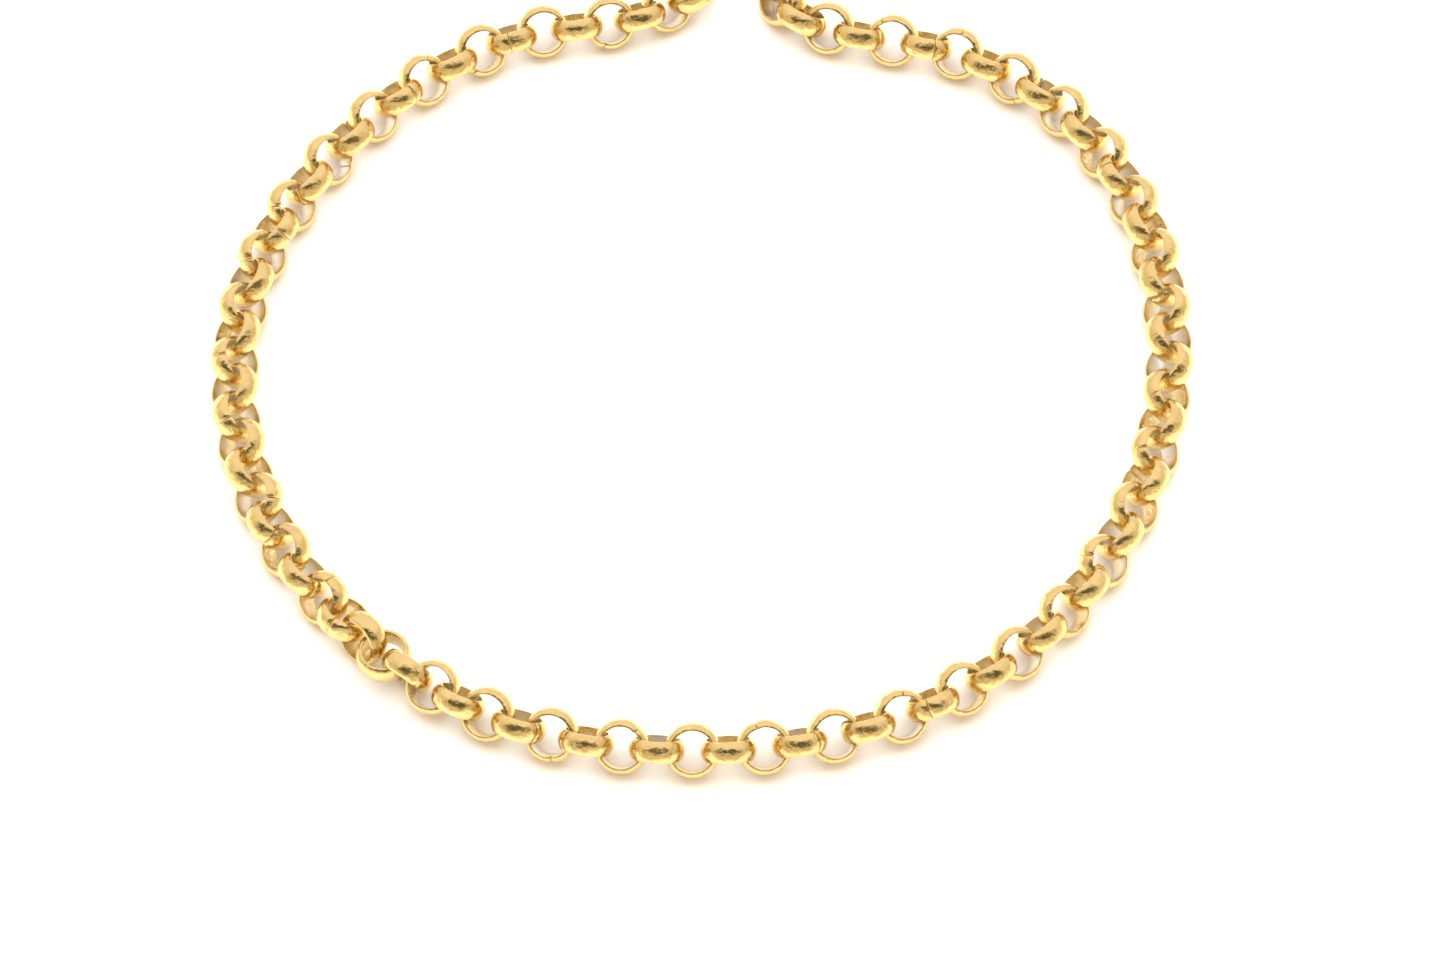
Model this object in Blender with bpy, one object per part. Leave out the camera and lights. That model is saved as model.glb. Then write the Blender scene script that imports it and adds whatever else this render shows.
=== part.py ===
"""Gold rolo chain necklace laid in a loop on a table, its two ends unfastened.

Metres, +Z up, the table at z = 0, +Y towards the clasp. The chain is 88 round
links bent from half-round wire. Every two neighbours are one object, held
together by a small tie inside the place where they cross.
"""

import math

import bmesh
import bpy
from mathutils import Matrix, Vector

MM = 0.001
COLLECTION = "chain_necklace"
CUTTERS = "cutters"

# chain links: half-round wire, its flat side towards the middle of the ring
LINK_COUNT = 88
LINK_STEPS = 18
LINK_INNER_RADIUS = 3.0
LINK_SHOULDER_RADIUS = 3.4
LINK_OUTER_RADIUS = 4.0
LINK_FLAT_HALF_WIDTH = 1.38
LINK_HALF_WIDTH = 1.55
LEAN = 45.0
TIE_WIDTH = 0.9
TIE_BITE = 0.45

# the lay: link number, plan x and y, how far the chain is twisted, height of the middle;
# the rings at the two ends count as the links before the first and after the last
LAY = (
    (-1, 1.3, 65.3, -45, 2.95),
    (0, 1.1, 61.3, -45, 3.3),
    (1, 0.0, 56.8, -37, 3.95),
    (2, -1.9, 52.9, -16, 3.8),
    (3, -5.4, 50.4, -8, 3.65),
    (4, -9.5, 48.6, 0, 3.5),
    (8, -28.8, 44.4, 0, 3.5),
    (12, -45.6, 33.6, 0, 3.5),
    (16, -58.4, 18.1, 0, 3.5),
    (20, -66.4, 0.3, 0, 3.5),
    (24, -68.2, -18.6, 0, 3.5),
    (28, -64.0, -37.5, 0, 3.5),
    (31, -57.2, -50.4, 0, 3.5),
    (32, -54.2, -54.4, 5, 3.6),
    (33, -51.2, -57.9, 14, 3.65),
    (34, -48.3, -61.2, 27, 3.82),
    (35, -45.3, -64.1, 45, 3.75),
    (36, -41.9, -66.7, 63, 3.88),
    (37, -38.2, -69.4, 76, 3.75),
    (38, -34.5, -71.6, 85, 3.6),
    (40, -25.9, -75.6, 88, 3.56),
    (44, -6.3, -79.5, 85, 3.62),
    (48, 13.9, -78.4, 84, 3.64),
    (52, 32.8, -72.0, 84, 3.64),
    (56, 48.6, -60.3, 85, 3.62),
    (60, 60.2, -43.8, 88, 3.56),
    (64, 66.9, -24.6, 90, 3.5),
    (68, 68.2, -4.6, 90, 3.5),
    (72, 64.0, 14.7, 90, 3.5),
    (76, 54.0, 31.1, 90, 3.5),
    (80, 38.3, 41.7, 90, 3.5),
    (84, 19.0, 46.4, 90, 3.5),
    (85, 14.9, 48.3, 90, 3.5),
    (86, 12.1, 51.5, 90, 3.5),
    (87, 11.2, 55.7, 90, 3.5),
    (88, 11.7, 60.2, 90, 2.9),
)
PLAN_X, PLAN_Y, TWIST, HEIGHT = 1, 2, 3, 4
JUMP_RING = -1
END_RING = 88

# rings at the two ends, bent from round wire
WIRE_STEPS = 24
WIRE_SIDES = 8
JUMP_RING_RADIUS = 2.35
JUMP_RING_WIRE = 0.5
END_RING_RADIUS = 3.2
END_RING_WIRE = 0.6

# lobster clasp, lying on its flat side, its eye at the local origin and its hook along +X
CLASP_REACH = 2.45
CLASP_THICKNESS = 4.4
CLASP_MIDDLE_X = 9.0
CLASP_HALF_LENGTH = 6.5
CLASP_HALF_WIDTH = 4.3
CLASP_TAPER = 0.08
CLASP_POINTS = 28
CLASP_EDGE = 0.9
EYE_HOLE_RADIUS = 1.3
EYE_RADIUS = 2.25
EYE_THICKNESS = 1.2
NECK_OUTLINE = ((1.0, -1.3), (4.6, -1.3), (4.6, 1.3), (1.0, 1.3))
GATE_OUTLINE = ((7.5, -9), (12.3, -9), (12.3, -0.6), (8.2, -0.6))
SLOT_OUTLINE = ((3.2, -9), (7.6, -9), (8.3, -0.3), (4.3, -0.3))
HOOK_CENTRE_X = 10.0
HOOK_HALF_LENGTH = 3.3
HOOK_HALF_WIDTH = 2.35
RIVET_X = 5.7
RIVET_Y = -1.9
RIVET_RADIUS = 0.5
RIVET_HOLE_RADIUS = 0.53
LEVER_HOLE_RADIUS = 0.56
SLOT_HALF_HEIGHT = 1.0
LEVER_HALF_HEIGHT = 0.92
RECESS_RADIUS = 1.35
RECESS_FLOOR = 0.25
SPRING_RADIUS = 0.85
SPRING_WIRE = 0.13
SPRING_TURNS = 2
SPRING_RISE = 0.42


def add_collection(name):
    collection = bpy.data.collections.new(name)
    bpy.context.scene.collection.children.link(collection)
    return collection


def metal(name, colour, roughness):
    material = bpy.data.materials.new(name)
    material.use_nodes = True
    shader = material.node_tree.nodes["Principled BSDF"]
    shader.inputs["Base Color"].default_value = (*colour, 1.0)
    shader.inputs["Roughness"].default_value = roughness
    shader.inputs["Metallic"].default_value = 1.0
    material.diffuse_color = (*colour, 1.0)
    return material


def new_object(name, bm, collection, material=None):
    """An object made from a bmesh drawn in millimetres."""
    bmesh.ops.scale(bm, vec=(MM, MM, MM), verts=bm.verts)
    bmesh.ops.recalc_face_normals(bm, faces=bm.faces)
    mesh = bpy.data.meshes.new(name)
    bm.to_mesh(mesh)
    bm.free()
    if material:
        mesh.materials.append(material)
    made = bpy.data.objects.new(name, mesh)
    collection.objects.link(made)
    return made


def smooth(made, angle=math.radians(40)):
    for polygon in made.data.polygons:
        polygon.use_smooth = True
    made.data.set_sharp_from_angle(angle=angle)


def combine(made, other, operation):
    """Join or cut one object with another and leave only the result."""
    step = made.modifiers.new(operation.lower(), "BOOLEAN")
    step.operation = operation
    step.solver = "EXACT"
    step.object = other
    view = bpy.context.evaluated_depsgraph_get()
    result = bpy.data.meshes.new_from_object(made.evaluated_get(view))
    made.modifiers.remove(step)
    old = made.data
    result.name = old.name
    made.data = result
    bpy.data.meshes.remove(old)
    bpy.data.objects.remove(other, do_unlink=True)


def lay_slopes(column):
    """How fast one column of the lay changes per link, at each station."""
    rates = [
        (after[column] - before[column]) / (after[0] - before[0])
        for before, after in zip(LAY, LAY[1:])
    ]
    slopes = [rates[0]]
    for n in range(1, len(rates)):
        before = LAY[n][0] - LAY[n - 1][0]
        after = LAY[n + 1][0] - LAY[n][0]
        slopes.append((rates[n - 1] * after + rates[n] * before) / (before + after))
    slopes.append(rates[-1])
    return slopes


SLOPES = {column: lay_slopes(column) for column in (PLAN_X, PLAN_Y)}


def station_before(number):
    """The last station of the lay at or before a link, and how far on the link is."""
    n = max(k for k in range(len(LAY) - 1) if LAY[k][0] <= number)
    return n, (number - LAY[n][0]) / (LAY[n + 1][0] - LAY[n][0])


def curved(number, column):
    """A column of the lay at a link, along a smooth curve through the stations."""
    n, t = station_before(number)
    span = LAY[n + 1][0] - LAY[n][0]
    start = LAY[n][column] * (2 * t**3 - 3 * t**2 + 1)
    start += SLOPES[column][n] * span * (t**3 - 2 * t**2 + t)
    end = LAY[n + 1][column] * (3 * t**2 - 2 * t**3)
    end += SLOPES[column][n + 1] * span * (t**3 - t**2)
    return start + end


def straight(number, column):
    n, t = station_before(number)
    return LAY[n][column] * (1 - t) + LAY[n + 1][column] * t


def link_centre(number):
    return Vector(
        (curved(number, PLAN_X), curved(number, PLAN_Y), straight(number, HEIGHT))
    )


def frame_of(centre, along, lean):
    """A ring's frame: +X along the chain, +Y across the ring, +Z on its own axis."""
    along = along.normalized()
    outward = along.cross(Vector((0, 0, 1))).normalized()
    upright = outward.cross(along)
    across = math.cos(lean) * upright + math.sin(lean) * outward
    turn = Matrix((along, across, along.cross(across))).transposed().to_4x4()
    return Matrix.Translation(centre) @ turn


def link_frame(number):
    before = link_centre(max(number - 1, JUMP_RING))
    after = link_centre(min(number + 1, END_RING))
    side = LEAN if number % 2 else -LEAN
    lean = math.radians(side + straight(number, TWIST))
    return frame_of(link_centre(number), after - before, lean)


def ring(profile, steps):
    """A bmesh ring about Z, its profile given as (radius, height) pairs."""
    bm = bmesh.new()
    corners = [bm.verts.new((radius, 0, height)) for radius, height in profile]
    edges = [
        bm.edges.new((a, b)) for a, b in zip(corners, corners[1:] + corners[:1])
    ]
    bmesh.ops.spin(
        bm,
        geom=corners + edges,
        cent=(0, 0, 0),
        axis=(0, 0, 1),
        angle=2 * math.pi,
        steps=steps,
        use_merge=True,
    )
    return bm


def link_ring():
    return ring(
        (
            (LINK_INNER_RADIUS, -LINK_FLAT_HALF_WIDTH),
            (LINK_SHOULDER_RADIUS, -LINK_HALF_WIDTH),
            (LINK_OUTER_RADIUS, 0),
            (LINK_SHOULDER_RADIUS, LINK_HALF_WIDTH),
            (LINK_INNER_RADIUS, LINK_FLAT_HALF_WIDTH),
        ),
        LINK_STEPS,
    )


def wire_ring(radius, wire):
    turns = [2 * math.pi * n / WIRE_SIDES for n in range(WIRE_SIDES)]
    profile = [(radius + wire * math.cos(a), wire * math.sin(a)) for a in turns]
    return ring(profile, WIRE_STEPS)


def in_metres(frame):
    placed = frame.copy()
    placed.translation *= MM
    return placed


def set_origin(made, point):
    """Move an object's origin to a point in millimetres, its shape staying put."""
    made.data.transform(made.matrix_world)
    made.data.transform(Matrix.Translation(-point * MM))
    made.matrix_world = Matrix.Translation(point * MM)


def build_pair(number, pivot, collection, material):
    """Links number and number + 1 as one object, its origin on its hinge axis."""
    first = link_frame(number)
    second = link_frame(number + 1)
    name = f"link_pair_{number // 2 + 1:02d}"
    made = new_object(name, link_ring(), collection, material)
    made.matrix_world = in_metres(first)
    other = new_object("other_link", link_ring(), collection)
    other.matrix_world = in_metres(second)

    gap = second.translation - first.translation
    bm = bmesh.new()
    bmesh.ops.create_cube(bm, size=1)
    length = 2 * (LINK_INNER_RADIUS + TIE_BITE) - gap.length
    bmesh.ops.scale(bm, vec=(length, TIE_WIDTH, TIE_WIDTH), verts=bm.verts)
    tie = new_object("tie", bm, collection)
    middle = (first.translation + second.translation) / 2
    tie.matrix_world = in_metres(frame_of(middle, gap, math.radians(LEAN / 2)))

    bpy.context.view_layer.update()
    combine(made, tie, "UNION")
    combine(made, other, "UNION")
    set_origin(made, pivot)
    smooth(made)
    return made


def pivot_link(pair):
    """The link whose own axis a pair swings about; the front pair holds still.

    The links lean one way and the other in turn, and so do the axes of the hinges.
    """
    root = LINK_COUNT // 4
    own, held = (2 * pair + 1, 2 * pair + 2) if pair < root else (2 * pair, 2 * pair - 1)
    if pair == root:
        return own
    return own if (own + pair) % 2 else held


def build_chain(collection, material):
    for pair in range(LINK_COUNT // 2):
        pivot = link_centre(pivot_link(pair))
        build_pair(2 * pair, pivot, collection, material)


def clasp_frame():
    """On the table, +X away from the chain, the origin under the middle of the eye."""
    last = link_centre(JUMP_RING)
    away = last - link_centre(0)
    away.z = 0
    eye = last + away.normalized() * CLASP_REACH
    eye.z = 0
    return frame_of(eye, away, math.radians(-90))


def build_end(name, number, bm, pivot, collection, material):
    """The wire ring at one end of the chain, its origin on its hinge axis."""
    made = new_object(name, bm, collection, material)
    made.matrix_world = in_metres(link_frame(number))
    bpy.context.view_layer.update()
    set_origin(made, link_centre(pivot))
    smooth(made)


def prism(points, low, high, edge=0.0):
    """A bmesh solid over an outline, its top and bottom rims rounded by edge."""
    bm = bmesh.new()
    face = bm.faces.new([bm.verts.new((x, y, low)) for x, y in points])
    grown = bmesh.ops.extrude_face_region(bm, geom=[face])
    top = [item for item in grown["geom"] if isinstance(item, bmesh.types.BMVert)]
    bmesh.ops.translate(bm, vec=(0, 0, high - low), verts=top)
    if edge:
        rims = [e for e in bm.edges if e.verts[0].co.z == e.verts[1].co.z]
        bmesh.ops.bevel(
            bm,
            geom=rims,
            offset=edge,
            segments=2,
            profile=0.5,
            affect="EDGES",
            clamp_overlap=True,
        )
    return bm


def oval(centre_x, centre_y, half_length, half_width, count):
    turns = [2 * math.pi * (n + 0.5) / count for n in range(count)]
    return [
        (centre_x + half_length * math.cos(a), centre_y + half_width * math.sin(a))
        for a in turns
    ]


def circle(x, y, radius, count=16):
    return oval(x, y, radius, radius, count)


def claw_outline():
    """The clasp's outer outline: an egg, narrower towards the eye."""
    points = []
    for n in range(CLASP_POINTS):
        a = 2 * math.pi * (n + 0.5) / CLASP_POINTS
        width = CLASP_HALF_WIDTH * (1 + CLASP_TAPER * (math.cos(a) - 1))
        points.append(
            (CLASP_MIDDLE_X + CLASP_HALF_LENGTH * math.cos(a), width * math.sin(a))
        )
    return points


def build_clasp_body(collection, cutters, material):
    half = CLASP_THICKNESS / 2
    bm = prism(claw_outline(), 0, CLASP_THICKNESS, CLASP_EDGE)
    made = new_object("clasp_body", bm, collection, material)

    low, high = half - EYE_THICKNESS / 2, half + EYE_THICKNESS / 2
    eye = new_object("eye", prism(circle(0, 0, EYE_RADIUS, 20), low, high), cutters)
    neck = new_object("neck", prism(NECK_OUTLINE, low, high), cutters)
    combine(made, eye, "UNION")
    combine(made, neck, "UNION")

    hook = oval(HOOK_CENTRE_X, 0, HOOK_HALF_LENGTH, HOOK_HALF_WIDTH, 24)
    cuts = (
        prism(circle(0, 0, EYE_HOLE_RADIUS, 20), -1, CLASP_THICKNESS + 1),
        prism(hook, -1, CLASP_THICKNESS + 1),
        prism(GATE_OUTLINE, -1, CLASP_THICKNESS + 1),
        prism(SLOT_OUTLINE, half - SLOT_HALF_HEIGHT, half + SLOT_HALF_HEIGHT),
        prism(circle(RIVET_X, RIVET_Y, RIVET_HOLE_RADIUS), -1, CLASP_THICKNESS + 1),
    )
    for bm in cuts:
        combine(made, new_object("cut", bm, cutters), "DIFFERENCE")
    made.matrix_world = in_metres(clasp_frame())
    bpy.context.view_layer.update()
    set_origin(made, link_centre(JUMP_RING))
    smooth(made)


def lever_outline():
    """From the thumb piece round the hub and along the gate to its tip."""
    return (
        (4.9, -4.6),
        (5.7, -4.9),
        (6.4, -4.4),
        (6.7, -3.5),
        (7.8, -3.75),
        (9.2, -4.0),
        (10.6, -3.85),
        (11.85, -3.35),
        (11.7, -1.85),
        (10.6, -2.3),
        (9.3, -2.45),
        (8.1, -2.1),
        (7.1, -1.3),
        (6.4, -0.75),
        (5.4, -0.65),
        (4.6, -1.1),
        (4.3, -2.0),
        (4.5, -3.2),
    )


def build_lever(collection, cutters, material):
    middle = CLASP_THICKNESS / 2
    low, high = middle - LEVER_HALF_HEIGHT, middle + LEVER_HALF_HEIGHT
    made = new_object(
        "clasp_lever", prism(lever_outline(), low, high, 0.2), collection, material
    )
    bore = prism(circle(RIVET_X, RIVET_Y, LEVER_HOLE_RADIUS), -1, CLASP_THICKNESS + 1)
    recess = prism(
        circle(RIVET_X, RIVET_Y, RECESS_RADIUS), middle + RECESS_FLOOR, middle + 2
    )
    for bm in (bore, recess):
        combine(made, new_object("cut", bm, cutters), "DIFFERENCE")
    made.matrix_world = in_metres(clasp_frame())
    bpy.context.view_layer.update()
    rivet = clasp_frame() @ Vector((RIVET_X, RIVET_Y, middle))
    set_origin(made, rivet)
    smooth(made)


def build_rivet(collection, material):
    low, high = 0.15, CLASP_THICKNESS - 0.15
    bm = prism(circle(RIVET_X, RIVET_Y, RIVET_RADIUS), low, high)
    made = new_object("clasp_rivet", bm, collection, material)
    made.matrix_world = in_metres(clasp_frame())
    bpy.context.view_layer.update()
    set_origin(made, clasp_frame() @ Vector((RIVET_X, RIVET_Y, CLASP_THICKNESS / 2)))
    smooth(made)


def build_spring(collection, material):
    """A small coil round the rivet, in the recess on top of the lever."""
    bm = bmesh.new()
    sides = [2 * math.pi * n / 6 for n in range(6)]
    bottom = CLASP_THICKNESS / 2 + RECESS_FLOOR + SPRING_WIRE + 0.03
    section = [
        bm.verts.new(
            (SPRING_RADIUS + SPRING_WIRE * math.cos(a), 0, bottom + SPRING_WIRE * math.sin(a))
        )
        for a in sides
    ]
    start = bm.faces.new(section)
    bmesh.ops.spin(
        bm,
        geom=[start],
        cent=(0, 0, 0),
        axis=(0, 0, 1),
        dvec=(0, 0, SPRING_RISE / (SPRING_TURNS * 14)),
        angle=2 * math.pi * SPRING_TURNS,
        steps=SPRING_TURNS * 14,
        use_merge=False,
    )
    bmesh.ops.translate(bm, vec=(RIVET_X, RIVET_Y, 0), verts=bm.verts)
    made = new_object("clasp_spring", bm, collection, material)
    made.matrix_world = in_metres(clasp_frame())
    bpy.context.view_layer.update()
    set_origin(made, clasp_frame() @ Vector((RIVET_X, RIVET_Y, CLASP_THICKNESS / 2)))
    smooth(made)


def main():
    for old in list(bpy.data.objects):
        bpy.data.objects.remove(old, do_unlink=True)
    parts = add_collection(COLLECTION)
    cutters = add_collection(CUTTERS)
    gold = metal("gold_links", (0.83, 0.6, 0.26), 0.16)
    clasp_gold = metal("gold_clasp", (0.82, 0.58, 0.25), 0.2)
    steel = metal("spring_steel", (0.6, 0.6, 0.6), 0.3)
    build_chain(parts, gold)
    jump = wire_ring(JUMP_RING_RADIUS, JUMP_RING_WIRE)
    build_end("jump_ring", JUMP_RING, jump, 0, parts, clasp_gold)
    end = wire_ring(END_RING_RADIUS, END_RING_WIRE)
    build_end("end_ring", END_RING, end, LINK_COUNT - 1, parts, clasp_gold)
    build_clasp_body(parts, cutters, clasp_gold)
    build_lever(parts, cutters, clasp_gold)
    build_rivet(parts, clasp_gold)
    build_spring(parts, steel)


main()
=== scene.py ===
"""Looks of a gold belcher chain necklace, lying in a loop on a white table.

Every pair of links in the CAD model is replaced by two finely made ones: half-round
wire bent into a ring, with the open seam where its two ends meet.
"""

import math
import random

import bmesh
import bpy
import numpy as np
from mathutils import Matrix, Vector


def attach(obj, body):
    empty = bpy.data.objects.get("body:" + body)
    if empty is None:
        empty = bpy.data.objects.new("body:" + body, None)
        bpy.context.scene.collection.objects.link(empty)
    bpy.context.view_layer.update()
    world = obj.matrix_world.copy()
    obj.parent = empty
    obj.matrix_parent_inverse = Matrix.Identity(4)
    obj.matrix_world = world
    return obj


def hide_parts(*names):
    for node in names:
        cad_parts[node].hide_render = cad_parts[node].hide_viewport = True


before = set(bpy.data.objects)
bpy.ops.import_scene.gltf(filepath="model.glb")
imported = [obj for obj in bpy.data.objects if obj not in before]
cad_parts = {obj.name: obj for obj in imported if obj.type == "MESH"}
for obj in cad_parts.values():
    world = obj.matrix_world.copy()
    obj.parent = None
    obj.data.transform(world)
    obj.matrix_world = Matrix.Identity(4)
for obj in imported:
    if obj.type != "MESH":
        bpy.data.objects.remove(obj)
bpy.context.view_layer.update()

MM = 0.001
SEED = 7

# the wire of a link, in millimetres from the ring's middle and from its middle plane
INNER_RADIUS = 3.02
OUTER_RADIUS = 4.0
HALF_WIDTH = 1.56
EDGE_RADIUS = 0.1
DOME_STEPS = 16
EDGE_STEPS = 3
RING_STEPS = 84
# where the two ends of the wire meet
SEAM_GAP = (0.03, 0.1)
SEAM_LIP = 0.18
# how much smaller the wire is at its very end, and just before it
SEAM_TAPER = (0.82, 0.95)
SEAM_STEP = 0.14
SEAM_FLAT = (0.05, 0.22)
SEAM_FLAT_ANGLE = math.radians(20)
# the share of links that show bare metal where the plating is thin, on their flat inner wall
BARE_SHARE = 0.5

# the round wire rings at the ends of the chain, and the rivet of the clasp
RING_WIRES = {"jump_ring": (2.35, 0.5), "end_ring": (3.2, 0.6)}
WIRE_SIDES = 20
RIVET_STEPS = 32
RIVET_EDGE = 0.12
# the cast pieces of the clasp: how finely they are made anew, how far they are smoothed
CAST_GRAIN = 0.09
CAST_SMOOTHING = 8

# the corners of the CAD ring's profile, as radius and distance from its middle plane
CAD_PROFILE = np.array(((3.0, 1.38), (3.4, 1.55), (4.0, 0.0)))
CAD_PITCH = 4.8
RIM_NEARBY = (1.1, 0.9, 0.6, 0.4, 0.4)
RIM_POINTS = 18
FIT_TOLERANCE = 0.01

# the camera: where it looks, from how high, how far away, through which lens
AIM = Vector((3.0, -34.5, 3.5)) * MM
CAMERA_ELEVATION = math.radians(57.5)
CAMERA_DISTANCE = 1.084
CAMERA_LENS = 186.6
CAMERA_SIDE = Vector((0, -math.cos(CAMERA_ELEVATION), math.sin(CAMERA_ELEVATION)))

# the light tent, how the lens and the person behind it darken it, and the two lamps
TENT_SIDES = (0.84, 0.745, 0.6)
TENT_TOP = (1.12, 1.04, 1.04)
TENT_TOP_SIDE = (0, 0.5, 0.85)
TENT_TOP_EDGE = (80, 25)
LENS_COLOUR = (0.12, 0.11, 0.07)
LENS_EDGE = (27, 7)
LENS_SIDE = (0, -0.58, 0.81)
LAMP_SIZE = (2.6, 2.2)
WINDOW_PLACE = (-0.1, 0.7, 1.3)
FILL_PLACE = (0.2, -0.7, 1.3)
FLOOR_COLOUR = (0.95, 0.93, 0.9, 1)
LENS_NARROWING = 0.25
WINDOW_POWER = 32.0
FILL_POWER = 17.0
FILL_COLOUR = (1.0, 0.92, 0.82)

GOLD = (0.9, 0.67, 0.285)
PALE_GOLD = (0.9, 0.74, 0.42)
PALE_METAL = (0.78, 0.76, 0.72)
SHARP_ANGLE = math.radians(50)

# material slots of a link
PLATED, BARE, WALL = 0, 1, 2


# ---------------------------------------------------------------- fitting the CAD links


def profile_error(points, centre, axis):
    """How far each point is from the nearest corner of a CAD ring's profile."""
    away = points - centre
    height = away @ axis
    radius = np.sqrt(np.maximum((away**2).sum(1) - height**2, 0))
    corners = CAD_PROFILE[:, None, :]
    return np.hypot(radius - corners[..., 0], np.abs(height) - corners[..., 1]).min(0)


def rim_error(points, centre, axis):
    """How far each point is from a CAD ring's outermost circle."""
    away = points - centre
    height = away @ axis
    radius = np.sqrt(np.maximum((away**2).sum(1) - height**2, 0))
    return np.hypot(radius - OUTER_RADIUS, height)


def refit(points):
    """The middle of a ring's points and its axis, which is where they spread least."""
    centre = points.mean(0)
    return centre, np.linalg.eigh(np.cov((points - centre).T))[1][:, 0]


def first_guess(points):
    """The two rings of a pair, one each side of its middle, at the rolls that fit best."""
    middle = points.mean(0)
    directions = np.linalg.eigh(np.cov((points - middle).T))[1]
    along, side, up = directions[:, 2], directions[:, 1], directions[:, 0]
    rolls = np.radians(np.arange(0, 180, 6))
    axes = [math.cos(roll) * side + math.sin(roll) * up for roll in rolls]
    centres = (middle - along * CAD_PITCH / 2, middle + along * CAD_PITCH / 2)
    errors = [
        np.array([profile_error(points, centre, axis) for axis in axes])
        for centre in centres
    ]
    both = np.minimum(errors[0][:, None], errors[1][None]).mean(2)
    first, second = np.unravel_index(both.argmin(), both.shape)
    return (centres[0], axes[first]), (centres[1], axes[second])


def fitted_rings(node):
    """Centre and axis of the two rings that one CAD pair is made of, in millimetres."""
    points = np.array([v.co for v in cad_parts[node].data.vertices], float) / MM
    points = np.unique(points.round(4), axis=0)
    rings = first_guess(points)
    for nearby in RIM_NEARBY:
        rings = [refit(points[rim_error(points, *ring) < nearby]) for ring in rings]
    worst = max(np.sort(rim_error(points, *ring))[RIM_POINTS - 1] for ring in rings)
    if worst > FIT_TOLERANCE:
        raise RuntimeError(f"{node} has no two rings: {worst:.3f} mm off")
    return rings


def chain_rings():
    """All the links from one end of the chain to the other, as (node, centre, axis)."""
    nodes = sorted(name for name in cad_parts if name.startswith("link_pair"))
    pairs = [fitted_rings(node) for node in nodes]
    middles = [sum(centre for centre, _ in rings) / 2 for rings in pairs]
    chain = []
    for n, rings in enumerate(pairs):
        towards = middles[n + 1] - middles[n] if n == 0 else middles[n] - middles[n - 1]
        rings = sorted(rings, key=lambda ring: ring[0] @ towards)
        chain += [(nodes[n], centre, axis) for centre, axis in rings]
    return chain


# ------------------------------------------------------------------------ modelling


def wire_profile():
    """A half-round section as (radius, height): flat inside, domed outside."""
    points = []
    top = HALF_WIDTH - EDGE_RADIUS
    for n in range(EDGE_STEPS + 1):
        a = math.pi / 2 * n / EDGE_STEPS
        points.append(
            (
                INNER_RADIUS + EDGE_RADIUS * (1 - math.cos(a)),
                top + EDGE_RADIUS * math.sin(a),
            )
        )
    shoulder = INNER_RADIUS + EDGE_RADIUS
    for n in range(1, DOME_STEPS):
        a = math.pi / 2 * (1 - n / DOME_STEPS)
        rise = OUTER_RADIUS - shoulder
        points.append((shoulder + rise * math.cos(a), HALF_WIDTH * math.sin(a)))
    lower = [(radius, -height) for radius, height in reversed(points)]
    return np.array(points + [(OUTER_RADIUS, 0.0)] + lower)


def seam_angles(gap):
    """Angles round the ring from one end of the wire to the other, closer at the ends."""
    half = gap / 2 / OUTER_RADIUS
    lip = SEAM_LIP / 2 / OUTER_RADIUS
    inner = np.linspace(half + 2 * lip, 2 * math.pi - half - 2 * lip, RING_STEPS)
    return np.concatenate(
        ([half, half + lip], inner, [2 * math.pi - half - lip, 2 * math.pi - half])
    )


def round_profile(radius, wire):
    """A round section as (radius, height)."""
    turns = [2 * math.pi * n / WIRE_SIDES for n in range(WIRE_SIDES)]
    return np.array([(radius + wire * math.cos(a), wire * math.sin(a)) for a in turns])


def bent_wire(rng, profile, wall):
    """Vertices, faces and slots of a wire bent about +Z, its seam at a chance angle."""
    angles = seam_angles(rng.uniform(*SEAM_GAP))
    seam = rng.uniform(0, 2 * math.pi)
    step = rng.uniform(-SEAM_STEP, SEAM_STEP)
    flat = rng.uniform(*SEAM_FLAT)
    middle = profile.mean(0)
    rows = []
    for n, angle in enumerate(angles):
        from_end = min(n, len(angles) - 1 - n)
        size = SEAM_TAPER[from_end] if from_end < len(SEAM_TAPER) else 1.0
        section = middle + (profile - middle) * size
        near = min(angle, 2 * math.pi - angle) / SEAM_FLAT_ANGLE
        fade = max(0.0, 1 - near) ** 2
        side = 1 if angle < math.pi else -1
        radius = section[:, 0] - flat * fade
        height = section[:, 1] + side * step * fade
        turn = angle + seam
        rows.append(
            np.stack((radius * math.cos(turn), radius * math.sin(turn), height), 1)
        )
    count = len(profile)
    faces, slots = [], []
    for row in range(len(rows) - 1):
        for n in range(count):
            after = (n + 1) % count
            a, b = row * count + n, row * count + after
            faces.append((a, b, b + count, a + count))
            slots.append(wall if after == 0 else PLATED)
    faces.append(tuple(reversed(range(count))))
    last = (len(rows) - 1) * count
    faces.append(tuple(range(last, last + count)))
    slots += [BARE, BARE]
    return np.concatenate(rows), faces, slots


def placed(points, centre, axis, along):
    """Points of a ring about +Z, set at a CAD ring with +X along the chain."""
    along = along - axis * (along @ axis)
    along /= np.linalg.norm(along)
    across = np.cross(axis, along)
    return centre + points @ np.stack((along, across, axis))


def add_mesh(name, points, faces, slots, materials):
    mesh = bpy.data.meshes.new(name)
    mesh.from_pydata([tuple(p * MM) for p in points], [], faces)
    for material in materials:
        mesh.materials.append(material)
    mesh.polygons.foreach_set("material_index", slots)
    bm = bmesh.new()
    bm.from_mesh(mesh)
    bmesh.ops.recalc_face_normals(bm, faces=bm.faces)
    bm.to_mesh(mesh)
    bm.free()
    mesh.shade_smooth()
    mesh.set_sharp_from_angle(angle=SHARP_ANGLE)
    made = bpy.data.objects.new(name, mesh)
    bpy.context.scene.collection.objects.link(made)
    return made


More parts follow.
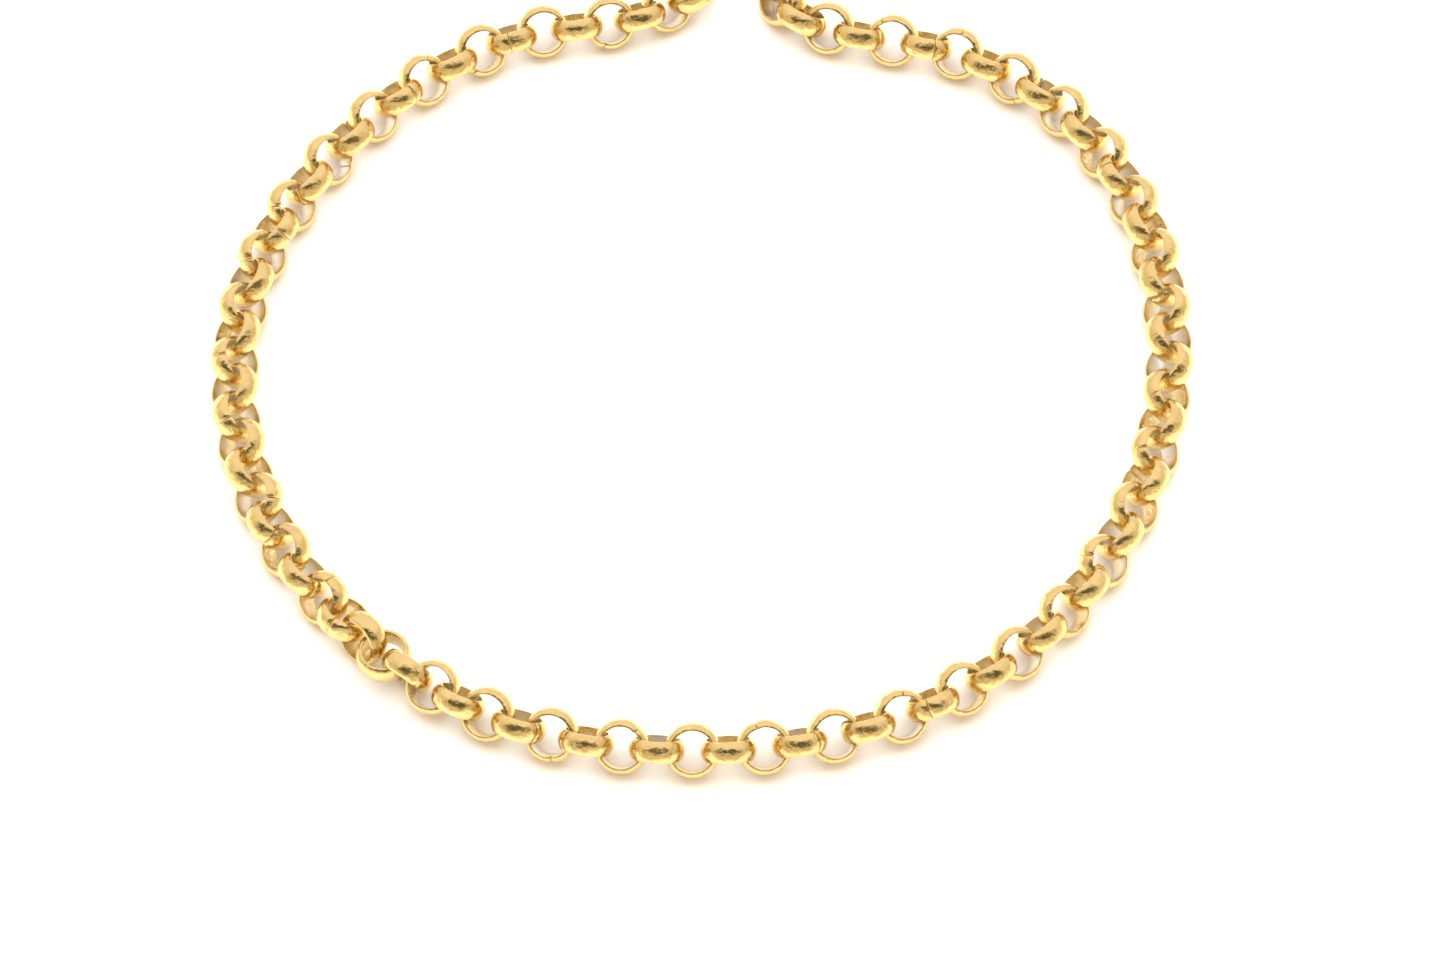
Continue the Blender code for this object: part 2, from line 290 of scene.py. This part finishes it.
def build_links(rng, materials):
    profile = wire_profile()
    chain = chain_rings()
    centres = [centre for _, centre, _ in chain]
    for n in range(0, len(chain), 2):
        points, faces, slots = [], [], []
        for k in (n, n + 1):
            node, centre, axis = chain[k]
            along = centres[min(k + 1, len(chain) - 1)] - centres[max(k - 1, 0)]
            wall = BARE if rng.random() < BARE_SHARE else WALL
            link_points, link_faces, link_slots = bent_wire(rng, profile, wall)
            first = sum(len(p) for p in points)
            faces += [tuple(first + i for i in face) for face in link_faces]
            slots += link_slots
            points.append(placed(link_points, centre, axis, along))
        node = chain[n][0]
        name = f"links_{node[-2:]}"
        made = add_mesh(name, np.concatenate(points), faces, slots, materials)
        stand_for(made, node)


def stand_for(made, node, body=None):
    """Show a piece in place of one CAD node, and move it with that node's body."""
    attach(made, body or node)
    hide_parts(node)


def cad_points(node):
    points = np.array([v.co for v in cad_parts[node].data.vertices], float)
    world = np.array(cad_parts[node].matrix_world)
    return (points @ world[:3, :3].T + world[:3, 3]) / MM


def build_wire_rings(rng, materials):
    for node, (radius, wire) in RING_WIRES.items():
        centre, axis = refit(np.unique(cad_points(node).round(4), axis=0))
        points, faces, slots = bent_wire(rng, round_profile(radius, wire), PLATED)
        along = np.array((axis[1], axis[2], axis[0]))
        points = placed(points, centre, axis, along)
        made = add_mesh(f"{node}_wire", points, faces, slots, materials)
        stand_for(made, node)


def build_cast_piece(node, body, material):
    """The same shape as a CAD node of the clasp, with the soft edges of a casting."""
    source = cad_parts[node]
    rough = bpy.data.objects.new(f"{node}_rough", source.data.copy())
    rough.matrix_world = source.matrix_world
    bpy.context.scene.collection.objects.link(rough)
    remesh = rough.modifiers.new("remesh", "REMESH")
    remesh.mode = "VOXEL"
    remesh.voxel_size = CAST_GRAIN * MM
    remesh.adaptivity = 0.0
    soft = rough.modifiers.new("soft", "SMOOTH")
    soft.factor = 0.5
    soft.iterations = CAST_SMOOTHING
    bpy.context.view_layer.update()
    graph = bpy.context.evaluated_depsgraph_get()
    mesh = bpy.data.meshes.new_from_object(rough.evaluated_get(graph))
    mesh.transform(source.matrix_world)
    mesh.materials.clear()
    mesh.materials.append(material)
    mesh.shade_smooth()
    bpy.data.objects.remove(rough)
    made = bpy.data.objects.new(f"{node}_cast", mesh)
    bpy.context.scene.collection.objects.link(made)
    stand_for(made, node, body)


def build_rivet(material):
    """A rivet through the clasp, its heads rounded over."""
    points = cad_points("clasp_rivet")
    low, high = points.min(0), points.max(0)
    radius = (high[0] - low[0]) / 2
    half = (high[2] - low[2]) / 2
    profile = [(0.0, half), (radius * 0.6, half - 0.02), (radius, half - RIVET_EDGE)]
    profile += [(r, -h) for r, h in reversed(profile)]
    bm = bmesh.new()
    corners = [bm.verts.new((r * MM, 0, h * MM)) for r, h in profile]
    edges = [bm.edges.new(pair) for pair in zip(corners, corners[1:])]
    spun = {"cent": (0, 0, 0), "axis": (0, 0, 1), "angle": 2 * math.pi}
    bmesh.ops.spin(
        bm, geom=corners + edges, steps=RIVET_STEPS, use_merge=True, **spun
    )
    bmesh.ops.remove_doubles(bm, verts=bm.verts, dist=1e-7)
    bmesh.ops.recalc_face_normals(bm, faces=bm.faces)
    bmesh.ops.translate(bm, verts=bm.verts, vec=(low + high) / 2 * MM)
    mesh = bpy.data.meshes.new("rivet_pin")
    bm.to_mesh(mesh)
    bm.free()
    mesh.materials.append(material)
    mesh.shade_smooth()
    mesh.set_sharp_from_angle(angle=SHARP_ANGLE)
    made = bpy.data.objects.new("rivet_pin", mesh)
    bpy.context.scene.collection.objects.link(made)
    stand_for(made, "clasp_rivet", "clasp")


# ------------------------------------------------------------------------ materials


class Surface:
    """A Principled material whose noise is laid in the object's own metres."""

    def __init__(self, name, metallic=1.0):
        self.material = bpy.data.materials.new(name)
        self.material.use_nodes = True
        self.tree = self.material.node_tree
        self.shader = self.tree.nodes["Principled BSDF"]
        self.shader.inputs["Metallic"].default_value = metallic
        self.place = self.tree.nodes.new("ShaderNodeTexCoord").outputs["Object"]

    def noise(self, size, detail=2.0, stretch=(1, 1, 1)):
        """Noise whose blobs are about size metres across."""
        mapping = self.tree.nodes.new("ShaderNodeMapping")
        mapping.inputs["Scale"].default_value = stretch
        texture = self.tree.nodes.new("ShaderNodeTexNoise")
        texture.inputs["Scale"].default_value = 1 / size
        texture.inputs["Detail"].default_value = detail
        self.tree.links.new(self.place, mapping.inputs["Vector"])
        self.tree.links.new(mapping.outputs["Vector"], texture.inputs["Vector"])
        return texture.outputs["Fac"]

    def between(self, factor, low, high, start=0.35, end=0.65):
        """A number from low to high as the factor goes from start to end."""
        node = self.tree.nodes.new("ShaderNodeMapRange")
        node.inputs["From Min"].default_value = start
        node.inputs["From Max"].default_value = end
        node.inputs["To Min"].default_value = low
        node.inputs["To Max"].default_value = high
        self.tree.links.new(factor, node.inputs["Value"])
        return node.outputs["Result"]

    def colours(self, factor, stops):
        ramp = self.tree.nodes.new("ShaderNodeValToRGB")
        elements = ramp.color_ramp.elements
        while len(elements) < len(stops):
            elements.new(0.5)
        for element, (position, colour) in zip(elements, stops):
            element.position = position
            element.color = (*colour, 1)
        self.tree.links.new(factor, ramp.inputs["Fac"])
        return ramp.outputs["Color"]

    def bump(self, height, depth, normal=None):
        """Raises the surface by up to depth metres where height is 1."""
        node = self.tree.nodes.new("ShaderNodeBump")
        node.inputs["Distance"].default_value = depth
        self.tree.links.new(height, node.inputs["Height"])
        if normal:
            self.tree.links.new(normal, node.inputs["Normal"])
        return node.outputs["Normal"]

    def use(self, colour, roughness, normal):
        self.tree.links.new(colour, self.shader.inputs["Base Color"])
        self.tree.links.new(roughness, self.shader.inputs["Roughness"])
        self.tree.links.new(normal, self.shader.inputs["Normal"])
        return self.material


def shade(colour, amount):
    return tuple(channel * amount for channel in colour)


def gold_plate(name, colour, roughness):
    """Polished plate over drawn wire: faintly uneven, grainy, worn duller in places."""
    surface = Surface(name)
    tone = surface.noise(1.6 * MM, 3)
    stops = ((0.3, shade(colour, 0.9)), (0.7, colour))
    worn = surface.between(surface.noise(0.9 * MM, 5), roughness * 0.75, roughness * 1.5)
    normal = surface.bump(surface.noise(1.5 * MM, 1), 0.2 * MM)
    normal = surface.bump(surface.noise(0.5 * MM, 4), 0.08 * MM, normal)
    return surface.use(surface.colours(tone, stops), worn, normal)


def steel(name):
    """Thin drawn spring wire."""
    surface = Surface(name)
    stops = ((0.3, (0.5, 0.5, 0.5)), (0.7, (0.62, 0.62, 0.6)))
    colour = surface.colours(surface.noise(0.5 * MM, 2), stops)
    worn = surface.between(surface.noise(0.2 * MM, 2), 0.2, 0.35)
    return surface.use(colour, worn, surface.bump(surface.noise(0.1 * MM), 0.002 * MM))


def bare_metal(name, colour, gold):
    """The flat inner wall, where the plating is thin and pale metal shows through."""
    surface = Surface(name)
    patches = surface.noise(2.4 * MM, 4)
    stops = ((0.42, colour), (0.62, gold))
    worn = surface.between(surface.noise(0.9 * MM, 2), 0.3, 0.42)
    normal = surface.bump(surface.noise(1.2 * MM, 1), 0.02 * MM)
    return surface.use(surface.colours(patches, stops), worn, normal)


# --------------------------------------------------------------- floor, light, camera


def build_floor():
    bm = bmesh.new()
    bmesh.ops.create_grid(bm, x_segments=1, y_segments=1, size=3)
    mesh = bpy.data.meshes.new("floor")
    bm.to_mesh(mesh)
    bm.free()
    floor = bpy.data.objects.new("floor", mesh)
    bpy.context.scene.collection.objects.link(floor)
    material = bpy.data.materials.new("white_table")
    material.use_nodes = True
    shader = material.node_tree.nodes["Principled BSDF"]
    shader.inputs["Base Color"].default_value = FLOOR_COLOUR
    shader.inputs["Roughness"].default_value = 0.8
    mesh.materials.append(material)


def area_light(name, place, aim, size, power, colour=(1, 1, 1)):
    lamp = bpy.data.lights.new(name, "AREA")
    lamp.shape = "RECTANGLE"
    lamp.size, lamp.size_y = size
    lamp.energy = power
    lamp.color = colour
    made = bpy.data.objects.new(name, lamp)
    made.location = place
    made.rotation_euler = (Vector(aim) - Vector(place)).to_track_quat("-Z", "Y").to_euler()
    made.visible_glossy = False
    bpy.context.scene.collection.objects.link(made)


def direction_share(tree, direction, aim, start, end):
    """From 0 to 1 as a direction turns from start to end degrees off aim."""
    dot = tree.nodes.new("ShaderNodeVectorMath")
    dot.operation = "DOT_PRODUCT"
    dot.inputs[1].default_value = Vector(aim).normalized()
    tree.links.new(direction, dot.inputs[0])
    share = tree.nodes.new("ShaderNodeMapRange")
    share.interpolation_type = "SMOOTHSTEP"
    share.inputs["From Min"].default_value = math.cos(math.radians(start))
    share.inputs["From Max"].default_value = math.cos(math.radians(end))
    share.inputs["To Min"].default_value = 0.0
    share.inputs["To Max"].default_value = 1.0
    tree.links.new(dot.outputs["Value"], share.inputs["Value"])
    return share.outputs["Result"]


def mixed(tree, factor, first, second):
    mix = tree.nodes.new("ShaderNodeMix")
    mix.data_type = "RGBA"
    tree.links.new(factor, mix.inputs["Factor"])
    for socket, colour in ((mix.inputs["A"], first), (mix.inputs["B"], second)):
        if isinstance(colour, tuple):
            socket.default_value = (*colour, 1)
        else:
            tree.links.new(colour, socket)
    return mix.outputs["Result"]


def build_world():
    """A white light tent: brightest above and behind, dark where the lens looks in."""
    world = bpy.data.worlds.new("light_tent")
    world.use_nodes = True
    tree = world.node_tree
    direction = tree.nodes.new("ShaderNodeTexCoord").outputs["Generated"]
    above = direction_share(tree, direction, TENT_TOP_SIDE, *TENT_TOP_EDGE)
    tent = mixed(tree, above, TENT_SIDES, TENT_TOP)
    narrowed = tree.nodes.new("ShaderNodeMapping")
    narrowed.inputs["Scale"].default_value = (LENS_NARROWING, 1, 1)
    unit = tree.nodes.new("ShaderNodeVectorMath")
    unit.operation = "NORMALIZE"
    tree.links.new(direction, narrowed.inputs["Vector"])
    tree.links.new(narrowed.outputs["Vector"], unit.inputs[0])
    clear = direction_share(tree, unit.outputs["Vector"], LENS_SIDE, *LENS_EDGE)
    back = tree.nodes["Background"]
    tree.links.new(mixed(tree, clear, tent, LENS_COLOUR), back.inputs["Color"])
    bpy.context.scene.world = world


def build_light():
    build_world()
    area_light("soft_window", WINDOW_PLACE, (0, 0, 0), LAMP_SIZE, WINDOW_POWER)
    area_light("fill", FILL_PLACE, (0, 0, 0), LAMP_SIZE, FILL_POWER, FILL_COLOUR)
    view = bpy.context.scene.view_settings
    view.view_transform = "Standard"
    view.look = "None"


def build_camera():
    data = bpy.data.cameras.new("camera")
    data.lens = CAMERA_LENS
    data.sensor_width = 36.0
    data.clip_start = 0.05
    camera = bpy.data.objects.new("camera", data)
    camera.location = AIM + CAMERA_SIDE * CAMERA_DISTANCE
    camera.rotation_euler = (-CAMERA_SIDE).to_track_quat("-Z", "Y").to_euler()
    bpy.context.scene.collection.objects.link(camera)
    bpy.context.scene.camera = camera


build_camera()
build_floor()
build_light()
rng = random.Random(SEED)
link_gold = gold_plate("gold_plate", GOLD, 0.14)
thin_gold = bare_metal("thin_plate", PALE_METAL, PALE_GOLD)
wall_gold = gold_plate("inner_wall_plate", PALE_GOLD, 0.3)
build_links(rng, (link_gold, thin_gold, wall_gold))
build_wire_rings(rng, (link_gold, thin_gold))
clasp_gold = gold_plate("gold_clasp_plate", GOLD, 0.14)
build_cast_piece("clasp_body", "clasp", clasp_gold)
build_cast_piece("clasp_lever", "clasp_lever", clasp_gold)
build_rivet(clasp_gold)
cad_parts["clasp_spring"].data.materials[0] = steel("spring_wire")
